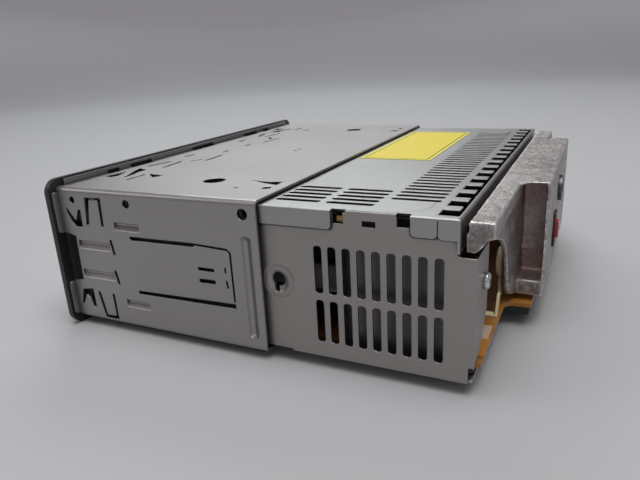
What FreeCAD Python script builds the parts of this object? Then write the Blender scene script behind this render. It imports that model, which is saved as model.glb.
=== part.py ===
import FreeCAD, Part
import math
import os
from FreeCAD import Vector as V

os.makedirs("parts", exist_ok=True)

# A single-height car CD player in its mounting sleeve.
# Frame: the origin is the middle of the sleeve's mouth, on the dashboard plane.
# +X is the right side seen from the driver's seat, +Y runs back into the dashboard, +Z is up.
# Millimetres.

# Mounting sleeve and trim ring.
SLEEVE_W = 182.0
SLEEVE_H = 53.0
SLEEVE_L = 88.0
SLEEVE_SHEET = 0.9
SLEEVE_BEND = 1.8
LIP_RISE = 2.3
RING_SIDE = 3.3
RING_RISE = 3.0
RING_DEPTH = 3.0
RING_CORNER = 5.5

# Case. The side and top gaps are its clearances inside the sleeve.
CASE_SIDE_GAP = 0.9
CASE_TOP_GAP = 0.6
SHEET = 0.8
NOSE_REAR = 14.0
CASE_REAR = 156.0
COVER_REAR = 151.3
SKIRT_DROP = 6.0
FLANGE_IN = 16.8
NOTCH_DROP = 11.0
BOTTOM_SCREW_R = 1.1
REAR_SCREW_R = 1.3

# Vents.
SIDE_VENT_FIRST = 107.6
SIDE_VENT_PITCH = 4.75
SIDE_VENT_COUNT = 9
SIDE_VENT_W = 2.8
SIDE_VENT_ROWS = ((-2.7, 13.1), (-19.7, -5.0))
TOP_VENT_PITCH = 4.45
TOP_VENT_W = 2.6
TOP_VENT_L = 15.8
TOP_VENT_STARTS = (89.8, 107.8, 126.0)
COMB_PITCH = 10.37
COMB_GAP_W = 6.0
COMB_FRONT = 144.3
COMB_REAR = 149.2

# Heat sink.
SINK_END = 1.4
SINK_BAR_FRONT = 153.0
SINK_BAR_REAR = 160.4
SINK_BAR_H = 8.6
SINK_DROP = 0.8
SINK_WALL_FRONT = 156.6
SINK_WALL_REAR = 158.5
BLOCK_NEAR = 35.0
BLOCK_FAR = -63.0
BLOCK_REAR = 169.5
BLOCK_BOTTOM = -17.5
ANTENNA_X = -13.0
ANTENNA_Z = 11.3
ANTENNA_R = 5.2
ANTENNA_BORE = 4.4
ANTENNA_REAR = 170.8
FUSE_X = 3.6
FUSE_Z = -1.2
FUSE_W = 10.9
FUSE_T = 3.8

# Main board.
BOARD_LIFT = 3.6
BOARD_THICK = 1.6
BOARD_REAR = 157.2
BOARD_TAIL = 166.0
TAIL_NEAR = 37.5

# Front.
FACE_INSET = 4.0
FACE_DROP = 2.5
FACE_REAR = -3.2
FACE_FRONT = -12.0
FACE_END = -8.0
FACE_BEVEL = 9.0
FACE_WALL = 2.0
DISC_Z = 12.0
SLOT_W = 126.0
SLOT_H = 5.0
KEY_GAP = 0.3
KEY_PROUD = 0.8
KEY_FLANGE = 1.0
KNOB_IN = 19.0
KNOB_Z = -5.0
KNOB_R = 13.0
KNOB_FRONT = -15.0
WINDOW_LOW = -11.0
WINDOW_TOP = 5.6

# Disc mechanism.
DECK_SIDE = 1.0
DECK_FRONT = 18.0
DECK_REAR = 143.0
DECK_FLOOR = 0.0
DECK_WALL_TOP = 16.5
SPINDLE_Y = 76.0
RUN = 0.05
ROD_R = 1.25
ROD_X = 24.0
ROD_Z = 4.6
SCREW_X = -34.0
SCREW_R = 1.5
LENS_Y = 101.0
SLED_HALF = 8.0
ROLLER_Y = 22.0
ROLLER_R = 3.2
PIN_R = 1.5
MOTOR_PIN_R = 1.0
GEAR_STEP = 15.3
PINION_STEP = 12.0
ARM_Y = 137.0
ARM_Z = 17.6
GROMMET_R = 3.4
GROMMET_IN = 6.0
SHIELD_FRONT = 114.2
SHIELD_REAR = 150.0
BRACKET_IN = 5.4

half_sleeve = SLEEVE_W / 2.0
sleeve_top = SLEEVE_H / 2.0
outer_case = half_sleeve - SLEEVE_SHEET - CASE_SIDE_GAP
half_case = outer_case - SHEET
inner_case = half_case - SHEET
case_top = sleeve_top - SLEEVE_SHEET - CASE_TOP_GAP
case_bottom = -case_top
notch_floor = case_top - NOTCH_DROP
lip_front = COVER_REAR - SHEET
sink_half = half_case - SINK_END
sink_top = case_top - SINK_DROP
bar_bottom = sink_top - SINK_BAR_H
comb_half_count = int((outer_case - 6.0) / COMB_PITCH)
bracket_out = half_case - BRACKET_IN
board_bottom = case_bottom + BOARD_LIFT
board_top = board_bottom + BOARD_THICK
face_half = half_sleeve - FACE_INSET
face_height = sleeve_top - FACE_DROP
knob_x = -face_half + KNOB_IN
deck_half = SLOT_W / 2.0 + DECK_SIDE
roller_z = DISC_Z - 0.8 - ROLLER_R
gear_y = ROLLER_Y + GEAR_STEP
pinion_y = gear_y + PINION_STEP
grommet_spots = ((deck_half - GROMMET_IN, DECK_FRONT + 10.0), (deck_half - GROMMET_IN, DECK_REAR - 9.0))
foot_spots = ((half_case - 8.4, 24.0), (half_case - 8.4, 100.0), (half_case - 8.4, CASE_REAR - 8.0))


def save(name, shape):
    shape = shape.removeSplitter()
    shape.exportStep("parts/" + name + ".step")
    count = len(shape.Solids)
    print(name, "solids", count, "volume", round(shape.Volume, 1), "valid", shape.isValid())


def box(x0, x1, y0, y1, z0, z1):
    return Part.makeBox(x1 - x0, y1 - y0, z1 - z0, V(x0, y0, z0))


def rod(axis, centre, radius, length):
    """A cylinder from centre along the axis named."""
    way = {"x": V(1, 0, 0), "y": V(0, 1, 0), "z": V(0, 0, 1)}[axis]
    return Part.makeCylinder(radius, length, V(*centre), way)


def fuse(shapes):
    whole = shapes[0]
    return whole.multiFuse(shapes[1:]) if len(shapes) > 1 else whole


def mirrored(shape):
    return shape.mirror(V(0, 0, 0), V(1, 0, 0))


def both_sides(shape):
    return fuse([shape, mirrored(shape)])


def plate(points, axis, low, high):
    """A flat polygon pushed from low to high along the axis; points are the other two coordinates."""
    if axis == "x":
        corners = [V(low, a, b) for a, b in points]
        way = V(high - low, 0, 0)
    elif axis == "y":
        corners = [V(a, low, b) for a, b in points]
        way = V(0, high - low, 0)
    else:
        corners = [V(a, b, low) for a, b in points]
        way = V(0, 0, high - low)
    return Part.Face(Part.makePolygon(corners + [corners[0]])).extrude(way)


def stroke(points, width, axis, low, high):
    """A bent slot: a run of flat bars with round joints."""
    bars = []
    for a, b in zip(points, points[1:]):
        dx = b[0] - a[0]
        dy = b[1] - a[1]
        size = math.hypot(dx, dy)
        nx = -dy / size * width / 2.0
        ny = dx / size * width / 2.0
        corners = [(a[0] + nx, a[1] + ny), (b[0] + nx, b[1] + ny), (b[0] - nx, b[1] - ny),
                   (a[0] - nx, a[1] - ny)]
        bars.append(plate(corners, axis, low, high))
    for a in points:
        place = {"x": (low, a[0], a[1]), "y": (a[0], low, a[1]), "z": (a[0], a[1], low)}[axis]
        bars.append(rod(axis, place, width / 2.0, high - low))
    return fuse(bars)


def round_edges(shape, axis, radius):
    """Rounds the long edges that run along the axis."""
    way = {"x": V(1, 0, 0), "y": V(0, 1, 0), "z": V(0, 0, 1)}[axis]
    edges = []
    for edge in shape.Edges:
        line = edge.Vertexes[-1].Point - edge.Vertexes[0].Point
        if line.Length > 0.01 and abs(abs(line.normalize().dot(way)) - 1.0) < 1e-6:
            edges.append(edge)
    return shape.makeFillet(radius, edges)


def soft_box(x0, x1, y0, y1, z0, z1, axis, radius):
    return round_edges(box(x0, x1, y0, y1, z0, z1), axis, radius)


def round_slot(x0, x1, y0, y1, z0, z1, axis):
    """A box with full or nearly full round ends, across the axis that the slot goes through."""
    sizes = {"x": (y1 - y0, z1 - z0), "y": (x1 - x0, z1 - z0), "z": (x1 - x0, y1 - y0)}[axis]
    return soft_box(x0, x1, y0, y1, z0, z1, axis, min(sizes) * 0.46)


def hollow(w, h, y0, y1, wall, radius):
    outside = soft_box(-w / 2, w / 2, y0, y1, -h / 2, h / 2, "y", radius)
    inside = soft_box(-w / 2 + wall, w / 2 - wall, y0 - 1, y1 + 1, -h / 2 + wall, h / 2 - wall, "y",
                      max(radius - wall, 0.3))
    return outside.cut(inside)


# The sleeve's punched shapes: (y, z) on its side and (x, y) on its top.
SIDE_STROKES = (
    (((24.0, 7.3), (24.8, 2.4)), 1.2),
    (((23.8, -4.8), (24.7, -9.2)), 1.3),
    (((13.4, -14.8), (15.3, -24.4), (20.9, -24.2)), 1.4),
    (((20.7, -14.7), (20.9, -24.2)), 1.2),
    (((34.3, 9.3), (61.6, 9.6)), 1.5),
    (((61.6, 9.9), (75.4, 9.3), (76.8, 8.2), (76.8, -9.2)), 0.8),
    (((63.4, 1.2), (69.0, 1.2)), 1.3),
    (((63.6, -3.2), (69.0, -3.0)), 1.6),
    (((74.2, 2.6), (74.2, 1.0)), 0.7),
    (((74.3, -2.2), (74.6, -4.4)), 0.8),
)
SIDE_FILLS = (
    ((3.8, 18.7), (4.8, 18.2), (6.9, 15.4), (8.0, 14.1), (9.9, 18.4), (11.2, 18.3), (11.1, 11.6), (7.5, 11.6),
     (5.7, 13.7), (4.4, 16.4)),
    ((14.3, 23.3), (22.3, 23.6), (21.9, 12.7), (20.6, 12.6), (20.8, 22.6), (16.4, 22.3), (14.6, 13.0),
     (13.1, 12.7), (13.7, 17.6)),
    ((4.5, -14.3), (10.3, -13.4), (10.5, -21.2), (9.0, -21.1), (7.8, -17.6), (6.1, -16.5), (4.0, -20.2),
     (2.9, -20.7)),
    ((34.0, -11.0), (77.0, -10.0), (77.2, -11.8), (34.0, -12.4)),
    ((-1.0, 9.2), (6.4, 7.8), (6.0, -10.0), (-1.0, -11.4)),
)
SIDE_HOLES = ((7.8, 22.0, 1.3), (34.3, 22.0, 1.6), (83.0, 21.9, 1.9))
SIDE_GROOVES = (
    (7.4, 23.2, 4.6, 3.4),
    (7.0, 23.0, -7.2, 3.4),
    (27.1, 38.8, 13.3, 3.2),
    (27.2, 38.4, -17.0, 3.2),
)
TOP_FILLS = (
    ((70.0, 3.9), (66.3, 5.3), (60.4, 6.9), (68.4, 9.8), (71.5, 8.9)),
    ((71.2, 15.2), (57.4, 8.7), (53.4, 7.4), (55.9, 13.5), (59.6, 12.9), (66.2, 14.9)),
    ((62.4, 20.5), (63.0, 24.1), (62.9, 28.7), (66.3, 28.1), (68.0, 27.2)),
    ((63.8, 69.6), (64.6, 77.4), (62.8, 82.9), (68.9, 83.4), (67.3, 78.2)),
    ((75.4, 80.9), (71.9, 80.7), (71.0, 82.8), (74.2, 83.8)),
)
TOP_STROKES = (
    (((73.6, 19.5), (64.1, 19.7)), 1.2),
    (((48.5, 8.3), (37.9, 10.8)), 1.5),
    (((49.7, 17.3), (36.9, 15.9)), 1.3),
    (((25.5, 9.6), (19.8, 10.2)), 1.6),
    (((34.3, 20.4), (30.5, 22.6)), 1.4),
    (((32.4, 26.5), (19.0, 25.6)), 1.2),
    (((11.5, 21.5), (7.9, 21.5)), 1.4),
)
LIP_WINDOWS = ((58.4, 65.2), (38.4, 51.8))
MIDDLE_WINDOW = 9.0
TOP_HOLE = (67.4, 56.2, 4.1)
TOP_DOTS = ((75.6, 71.1, 0.9), (2.3, 55.4, 0.8))
# The cover's own openings under the sleeve's tongues and holes: (x0, x1, y0, y1).
COVER_WINDOWS = ((61.0, 72.0, 20.0, 31.0), (61.6, 76.4, 66.5, 84.6))


def wedge_groove(y0, y1, z, high, face, deep):
    """A pressed line: deepest at its upper edge, running out at its lower edge."""
    up, low = z + high / 2.0, z - high / 2.0
    section = ((face + 0.1, up + 0.1), (face - deep, up - 0.5), (face - deep, up - 1.1), (face + 0.1, low))
    corners = [V(a, y0, b) for a, b in section]
    return Part.Face(Part.makePolygon(corners + [corners[0]])).extrude(V(0, y1 - y0, 0))


def mounting_sleeve():
    body = hollow(SLEEVE_W, SLEEVE_H, 0.0, SLEEVE_L, SLEEVE_SHEET, SLEEVE_BEND)
    top, side = sleeve_top, half_sleeve
    for z0, z1 in ((top - SLEEVE_SHEET, top + LIP_RISE), (-top - LIP_RISE, -top + SLEEVE_SHEET)):
        body = body.fuse(box(-side + 4.0, side - 4.0, 0.0, SLEEVE_SHEET, z0, z1))
    for z0, z1 in ((8.8, top - 1.8), (-top + 1.8, -11.2)):
        lip = soft_box(side - 2.0, side + LIP_RISE, 0.0, SLEEVE_SHEET, z0, z1, "y", 1.2)
        body = body.fuse(both_sides(lip.common(box(side - SLEEVE_SHEET, side + 5.0, -1.0, 2.0, z0, z1))))
    backs = []
    for y0, y1, z, high in SIDE_GROOVES:
        backs.append(box(side - SLEEVE_SHEET - 0.4, side - 0.3, y0, y1, z - 0.2, z + high / 2.0 - 0.1))
    bead_r = 4.2
    bead = rod("z", (side - 0.45 + bead_r, SLEEVE_L - 4.6, -21.5), bead_r, 35.5)
    back = rod("z", (side - 0.45 + bead_r, SLEEVE_L - 4.6, -22.2), bead_r + 0.6, 36.9)
    backs.append(back.common(box(side - 1.6, side - 0.3, 0.0, SLEEVE_L, -top, top)))
    backs = fuse(backs)
    body = body.fuse(backs).fuse(mirrored(backs))
    tools = [bead]
    near, far = side - 2.0, side + 1.0
    for points, width in SIDE_STROKES:
        tools.append(stroke(points, width, "x", near, far))
    for points in SIDE_FILLS:
        tools.append(plate(points, "x", near, far))
    for y, z, radius in SIDE_HOLES:
        tools.append(rod("x", (near, y, z), radius, far - near))
    for y0, y1, z, high in SIDE_GROOVES:
        tools.append(wedge_groove(y0, y1, z, high, side, 0.65))
    cuts = fuse(tools)
    body = body.cut(cuts).cut(mirrored(cuts))
    low, high = top - 2.0, top + 1.0
    tools = []
    for points in TOP_FILLS:
        tools.append(plate(points, "z", low, high))
    for points, width in TOP_STROKES:
        tools.append(stroke(points, width, "z", low, high))
    x, y, radius = TOP_HOLE
    tools.append(rod("z", (x, y, low), radius, high - low))
    for x, y, radius in TOP_DOTS:
        tools.append(rod("z", (x, y, low), radius, high - low))
    for x0, x1 in LIP_WINDOWS:
        tools.append(box(x0, x1, -1.0, 2.6, low, top + 1.2))
    cuts = fuse(tools)
    middle = box(-MIDDLE_WINDOW, MIDDLE_WINDOW, -1.0, 2.6, low, top + 1.2)
    cuts = cuts.fuse(mirrored(cuts)).fuse(middle)
    under = cuts.mirror(V(0, 0, 0), V(0, 0, 1))
    return body.cut(cuts).cut(under)


def trim_ring():
    wide, high = half_sleeve + RING_SIDE, sleeve_top + RING_RISE
    outside = soft_box(-wide, wide, -RING_DEPTH, 0.0, -high, high, "y", RING_CORNER)
    front = [e for e in outside.Edges if all(abs(v.Point.y + RING_DEPTH) < 1e-6 for v in e.Vertexes)]
    outside = outside.makeFillet(1.4, front)
    wide, high = half_sleeve - SLEEVE_SHEET - 0.2, sleeve_top - SLEEVE_SHEET
    inside = soft_box(-wide, wide, -RING_DEPTH - 1, 1.0, -high, high, "y", 1.2)
    return outside.cut(inside)


# The case.

def side_wall():
    """The +X wall with its folded rails and rear flange."""
    x0, x1 = inner_case, half_case
    low, under_top = case_bottom, case_top - SHEET
    outline = (
        (NOSE_REAR, low + SHEET), (96.6, low + SHEET), (96.6, low), (CASE_REAR - 1.7, low),
        (CASE_REAR - 1.7, board_top + 0.1), (CASE_REAR, board_top + 0.1), (CASE_REAR, notch_floor),
        (lip_front, notch_floor), (lip_front, under_top), (133.0, under_top),
        (133.0, case_top - 0.1), (117.4, case_top - 0.1), (117.4, under_top), (NOSE_REAR, under_top),
    )
    wall = plate(outline, "x", x0, x1)
    corner = [e for e in wall.Edges
              if all(abs(v.Point.y - lip_front) + abs(v.Point.z - notch_floor) < 1e-6 for v in e.Vertexes)]
    wall = wall.makeFillet(1.2, corner)
    top_rail = box(x0 - 5.2, x0, NOSE_REAR, COMB_FRONT - 1.0, under_top - SHEET, under_top)
    top_rail = top_rail.cut(box(x0 - 6.0, x0 - 0.2, 112.0, 138.6, under_top - 2.0, case_top))
    low_rail = box(x0 - 8.2, x0, 18.0, 154.0, low + SHEET, low + 2 * SHEET)
    edge = half_case - FLANGE_IN
    flange = plate(((x0, board_top + 0.1), (x0, notch_floor), (edge - 1.0, notch_floor), (edge - 0.8, -7.6),
                    (edge + 0.4, -9.4), (edge + 9.4, board_top + 0.1)), "y", CASE_REAR - SHEET, CASE_REAR)
    wall = fuse([wall, top_rail, low_rail, flange])
    for x, y in foot_spots:
        wall = wall.fuse(rod("z", (x0 - 4.6, y + 5.0, low + 2 * SHEET), 2.2, board_bottom - low - 2 * SHEET))
        wall = wall.cut(rod("z", (x, y, low - 1.0), BOTTOM_SCREW_R, 2.0 + 2 * SHEET))
    for k in range(SIDE_VENT_COUNT):
        y = SIDE_VENT_FIRST + k * SIDE_VENT_PITCH
        for z0, z1 in SIDE_VENT_ROWS:
            half = SIDE_VENT_W / 2
            wall = wall.cut(soft_box(x0 - 1, x1 + 1, y - half, y + half, z0, z1, "x", 1.1))
    boss = Part.makeCone(5.2, 3.9, 0.6, V(x1, 93.2, -0.3), V(1, 0, 0))
    hole = rod("x", (x0 - 1, 93.6, 0.6), 2.4, 4.0).fuse(round_slot(x0 - 1, x1 + 2, 91.9, 93.6, -4.0, 0.6,
                                                                   "x"))
    wall = wall.fuse(boss).cut(hole)
    for y, z, radius in SIDE_HOLES[1:]:
        wall = wall.cut(rod("x", (x0 - 1, y, z), radius, 4.0))
    for y0, y1, z0, z1 in ((122.6, 126.8, 20.3, 22.2), (133.2, 137.2, 21.2, 26.0),
                           (113.2, 116.6, 20.8, 26.0)):
        wall = wall.cut(box(x0 - 1, x1 + 1, y0, y1, z0, z1))
    return wall.cut(rod("y", (half_case - 11.4, CASE_REAR - 2, 3.6), REAR_SCREW_R, 3.0))


def case_frame():
    wall = side_wall()
    under_top = case_top - SHEET
    cross = box(-inner_case, inner_case, NOSE_REAR, NOSE_REAR + 3.4, under_top - SHEET, under_top)
    beam = box(-inner_case, inner_case, COMB_FRONT - 1.6, COMB_FRONT - 0.8, under_top - 8.2, under_top)
    stems = []
    for k in range(comb_half_count):
        x = (k + 0.5) * COMB_PITCH
        stems.append(box(x - 0.4, x + 0.5, COMB_FRONT - 0.9, COMB_REAR - 0.7, under_top - 5.2, under_top))
    stems = fuse(stems)
    return fuse([wall, mirrored(wall), cross, beam, stems, mirrored(stems)])


def top_cover():
    top = case_top
    sheet = box(-outer_case, outer_case, NOSE_REAR + 0.4, COVER_REAR, top - SHEET, top)
    lip = box(-outer_case, outer_case, lip_front, COVER_REAR, top - 4.6, top - 0.1)
    sheet = sheet.fuse(lip).removeSplitter()
    bends = [e for e in sheet.Edges if all(v.Point.z > top - 0.1 for v in e.Vertexes)
             and (all(abs(abs(v.Point.x) - outer_case) < 1e-6 for v in e.Vertexes)
                  or all(abs(v.Point.y - COVER_REAR) < 1e-6 for v in e.Vertexes))]
    sheet = sheet.makeFillet(0.6, bends)
    skirts = []
    skirt_runs = ((NOSE_REAR + 0.4, 112.8, SKIRT_DROP), (137.4, 144.9, SKIRT_DROP), (145.2, COVER_REAR, 6.2))
    for y0, y1, drop in skirt_runs:
        skirts.append(soft_box(half_case, outer_case, y0, y1, top - drop, top - 0.7, "x", 1.4))
        skirts.append(box(half_case, outer_case, y0, y1, top - 3.0, top - 0.7))
    skirt = fuse(skirts)
    ends = box(half_case - 8.0, outer_case, lip_front, COVER_REAR, notch_floor + 1.2, top - 4.0)
    cover = fuse([sheet, skirt, mirrored(skirt), ends, mirrored(ends)])
    cuts = []
    for side in (-1.0, 1.0):
        for y0, y1, into in ((112.8, 117.4, 1.4), (117.3, 133.1, SHEET + 0.05), (133.0, 137.3, 1.8)):
            x0, x1 = sorted((side * (half_case - into), side * (outer_case + 1.0)))
            cuts.append(box(x0, x1, y0, y1, top - 8.0, top + 1.0))
        for y, z, radius in SIDE_HOLES[1:]:
            cuts.append(rod("x", (side * outer_case - 1.5, y, z), radius, 3.0))
        for x0, x1, y0, y1 in COVER_WINDOWS:
            x0, x1 = sorted((side * x0, side * x1))
            cuts.append(box(x0, x1, y0, y1, top - 2, top + 1))
        cuts.append(rod("z", (side * TOP_HOLE[0], TOP_HOLE[1], top - 2), TOP_HOLE[2] + 0.8, 3.0))
    row = int((outer_case - 17.6) / TOP_VENT_PITCH)
    vents = [(k * TOP_VENT_PITCH, TOP_VENT_STARTS[2]) for k in range(-row, row + 1)]
    for y in TOP_VENT_STARTS[:2]:
        vents += [(outer_case - 26.6 + k * TOP_VENT_PITCH, y) for k in range(5)]
    half = TOP_VENT_W / 2
    for x, y in vents:
        cuts.append(round_slot(x - half, x + half, y, y + TOP_VENT_L, top - 2, top + 1, "z"))
    for k in range(-comb_half_count, comb_half_count + 1):
        x = k * COMB_PITCH
        cuts.append(box(x - COMB_GAP_W / 2, x + COMB_GAP_W / 2, COMB_FRONT, COMB_REAR + 0.2, top - 2,
                        top + 1))
    reach = comb_half_count * COMB_PITCH + COMB_GAP_W / 2
    cuts.append(box(-reach, reach, COMB_REAR, lip_front - 0.2, top - 2, top + 1))
    return cover.cut(Part.makeCompound(cuts))


def bottom_cover():
    cover = box(-inner_case + 0.2, inner_case - 0.2, NOSE_REAR + 0.4, CASE_REAR - 0.6, case_bottom,
                case_bottom + SHEET)
    cuts = []
    for k in range(-6, 7):
        x = k * 9.0
        cuts.append(round_slot(x - 1.2, x + 1.2, 104.0, 126.0, case_bottom - 1, case_bottom + 2, "z"))
    for x, y in foot_spots:
        cuts.append(rod("z", (x, y, case_bottom - 1), BOTTOM_SCREW_R, 3.0))
        cuts.append(rod("z", (-x, y, case_bottom - 1), BOTTOM_SCREW_R, 3.0))
    return cover.cut(Part.makeCompound(cuts))


def pan_screw(at, way, head_r, head_h, shank_r, shank_l):
    """A pan-head screw: at is the middle of the seat and way points out of the seat."""
    head = Part.makeCylinder(head_r, head_h, at, way)
    crown = [e for e in head.Edges if all((v.Point - at).dot(way) > head_h - 1e-6 for v in e.Vertexes)]
    head = head.makeFillet(head_h * 0.55, crown)
    shank = Part.makeCylinder(shank_r, shank_l, at, way * -1.0)
    screw = head.fuse(shank)
    side = V(0, 0, 1).cross(way) if abs(way.z) < 0.5 else V(1, 0, 0)
    up = way.cross(side)
    for a, b in ((side, up), (up, side)):
        blade = Part.makePolygon([
            at + a * (head_r * 0.55) + b * 0.28, at - a * (head_r * 0.55) + b * 0.28,
            at - a * (head_r * 0.55) - b * 0.28, at + a * (head_r * 0.55) - b * 0.28,
            at + a * (head_r * 0.55) + b * 0.28])
        slot = Part.Face(blade).extrude(way * (head_h + 1.0))
        slot.translate(way * (head_h * 0.45))
        screw = screw.cut(slot)
    return screw


def rear_screws():
    screws = []
    for side in (-1.0, 1.0):
        at = V(side * (half_case - 11.4), CASE_REAR, 3.6)
        screws.append(pan_screw(at, V(0, 1, 0), 2.6, 1.7, REAR_SCREW_R, 4.0))
    return Part.makeCompound(screws)


def bottom_screws():
    screws = []
    for x, y in foot_spots:
        for side in (-1.0, 1.0):
            at = V(side * x, y, case_bottom)
            screws.append(pan_screw(at, V(0, 0, -1), 2.4, 0.4, BOTTOM_SCREW_R, 2 * SHEET))
    return Part.makeCompound(screws)


def rating_label():
    return box(-71.0, 8.6, 90.4, 121.2, case_top, case_top + 0.2)


# Heat sink and rear connections.

def heat_sink():
    rear, wall_rear, top = SINK_BAR_REAR, SINK_WALL_REAR, sink_top
    section = ((SINK_BAR_FRONT, top), (rear, top), (rear, top - 5.1), (wall_rear, top - 5.3),
               (SINK_WALL_FRONT, top - 7.8), (SINK_WALL_FRONT - 0.4, bar_bottom),
               (SINK_BAR_FRONT, bar_bottom))
    bar = round_edges(plate(section, "x", -sink_half, sink_half), "x", 0.35)
    outline = (
        (sink_half - 3.0, top - 4.2), (sink_half - 3.0, top - 5.6), (72.0, top - 9.7), (60.0, top - 13.8),
        (53.0, top - 18.2), (48.0, top - 22.8), (46.0, top - 27.2), (44.4, BLOCK_BOTTOM + 9.5),
        (42.4, BLOCK_BOTTOM + 4.5), (40.0, BLOCK_BOTTOM + 1.6), (36.4, BLOCK_BOTTOM),
        (BLOCK_FAR, BLOCK_BOTTOM),
        (BLOCK_FAR - 8.0, top - 18.2), (-sink_half + 3.0, top - 5.6), (-sink_half + 3.0, top - 4.2))
    wall = plate(outline, "y", SINK_WALL_FRONT, wall_rear)
    block = box(BLOCK_FAR, BLOCK_NEAR, wall_rear - 0.5, BLOCK_REAR, BLOCK_BOTTOM, top)
    block = round_edges(block, "z", 0.9)
    ramp = plate(((BLOCK_NEAR - 1.0, wall_rear - 0.5), (BLOCK_NEAR + 8.4, wall_rear - 0.5),
                  (BLOCK_NEAR + 8.4, wall_rear), (BLOCK_NEAR - 1.0, rear)), "z", BLOCK_BOTTOM, top)
    ramp = ramp.common(plate(outline, "y", SINK_WALL_FRONT, BLOCK_REAR))
    root = plate(((BLOCK_NEAR - 1.0, rear - 1.0), (BLOCK_NEAR + 4.0, rear - 1.0), (BLOCK_NEAR + 4.0, rear),
                  (BLOCK_NEAR - 0.5, rear + 3.0)), "z", top - 1.4, top)
    lugs = []
    for z1, y0, y1 in ((top - 3.6, SINK_BAR_FRONT - 0.6, SINK_BAR_FRONT + 1.0),
                       (bar_bottom + 1.0, SINK_BAR_FRONT - 0.6, CASE_REAR - SHEET)):
        lugs.append(box(sink_half - 9.0, sink_half, y0, y1, notch_floor + 1.0, z1))
    lug = fuse(lugs)
    sink = fuse([bar, wall, block, ramp, root, lug, mirrored(lug)])
    cuts = []
    cuts.append(box(BLOCK_NEAR - 8.0, BLOCK_NEAR + 9.0, rear, BLOCK_REAR - 1.1, -3.0, top - 1.0))
    cuts.append(box(BLOCK_NEAR - 11.0, BLOCK_NEAR + 9.0, rear - 0.3, BLOCK_REAR - 1.1, -11.8, -2.9))
    cuts.append(box(BLOCK_FAR - 9.0, BLOCK_FAR + 7.0, rear, BLOCK_REAR - 1.1, -11.8, top - 1.0))
    for k in range(4):
        x = BLOCK_FAR + 9.0 + k * 8.5
        cuts.append(soft_box(x, x + 5.0, BLOCK_REAR - 6.0, BLOCK_REAR + 1.0, BLOCK_BOTTOM - 1, top - 3.2,
                             "z", 0.4))
    cuts.append(rod("y", (ANTENNA_X, 150.0, ANTENNA_Z), ANTENNA_R + 0.3, 25.0))
    wide, high = FUSE_T / 2 + 1.3, FUSE_W / 2 + 1.7
    cuts.append(box(FUSE_X - wide, FUSE_X + wide, 150.0, BLOCK_REAR + 1.0, FUSE_Z - high, FUSE_Z + high))
    return sink.cut(Part.makeCompound(cuts))


def antenna_socket():
    x, z = ANTENNA_X, ANTENNA_Z
    tube = rod("y", (x, 148.0, z), ANTENNA_R, ANTENNA_REAR - 148.0)
    flange = soft_box(x - 7.0, x + 7.0, 146.6, 148.4, z - 7.0, z + 7.0, "y", 1.0)
    leg = box(x - 2.5, x + 2.5, 146.6, 148.4, board_top, z - 6.5)
    bore = rod("y", (x, 152.4, z), ANTENNA_BORE, 25.0)
    pin_hole = rod("y", (x, 147.4, z), 1.3, 10.0)
    return fuse([tube, flange, leg]).cut(bore).cut(pin_hole)


def power_connector():
    low, high = case_bottom - 0.3, board_bottom
    shell = soft_box(-30.0, TAIL_NEAR - 2.0, 155.8, BOARD_TAIL - 0.8, low, high, "y", 0.5)
    mouth = box(-28.8, TAIL_NEAR - 3.2, 157.0, BOARD_TAIL + 1, low + 0.7, high - 0.5)
    shell = shell.cut(mouth)
    pins = []
    for k in range(16):
        x = -26.0 + k * 3.6
        pins.append(box(x - 0.4, x + 0.4, 156.4, 163.5, low + 1.7, low + 2.3))
    return fuse([shell] + pins)


def fuse_holder():
    x, z = FUSE_X, FUSE_Z
    wide, high = FUSE_T / 2 + 1.1, FUSE_W / 2 + 1.5
    holder = soft_box(x - wide, x + wide, 151.0, BLOCK_REAR + 0.7, z - high, z + high, "y", 0.5)
    wide, high = FUSE_T / 2 + 0.15, FUSE_W / 2 + 0.15
    holder = holder.cut(box(x - wide, x + wide, BLOCK_REAR - 13.6, BLOCK_REAR + 5.0, z - high, z + high))
    return holder.fuse(box(x - 2.0, x + 2.0, 151.0, 153.0, board_top, z - high))


def blade_fuse():
    x, z = FUSE_X, FUSE_Z
    body = box(x - FUSE_T / 2, x + FUSE_T / 2, BLOCK_REAR - 5.5, BLOCK_REAR + 0.6, z - FUSE_W / 2,
               z + FUSE_W / 2)
    grip = soft_box(x - FUSE_T / 2, x + FUSE_T / 2, BLOCK_REAR, BLOCK_REAR + 1.9, z - 3.3, z + 3.3, "x", 0.6)
    blades = []
    for side in (-1.0, 1.0):
        z0, z1 = sorted((z + side * (FUSE_W / 2 - 2.8), z + side * FUSE_W / 2))
        blades.append(box(x - 0.4, x + 0.4, BLOCK_REAR - 12.8, BLOCK_REAR - 5.0, z0, z1))
    return fuse([body, grip] + blades)


# Boards and what is on them.

def main_board():
    half = inner_case - 3.1
    sheet = box(-half, half, 20.0, BOARD_REAR, board_bottom, board_top)
    gap = box(bracket_out - 0.2, half + 1.0, SHIELD_FRONT - 0.6, SHIELD_REAR + 0.3, board_bottom - 1,
              board_top + 1)
    sheet = sheet.cut(gap).cut(mirrored(gap))
    tail = box(-60.0, TAIL_NEAR, BOARD_REAR - 1.0, BOARD_TAIL, board_bottom, board_top)
    corner = box(TAIL_NEAR, TAIL_NEAR + 3.4, BOARD_REAR - 1.0, BOARD_REAR + 3.4, board_bottom, board_top)
    corner = corner.cut(rod("z", (TAIL_NEAR + 3.4, BOARD_REAR + 3.4, board_bottom - 1), 3.4, 4.0))
    return fuse([sheet, tail, corner])


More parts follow.
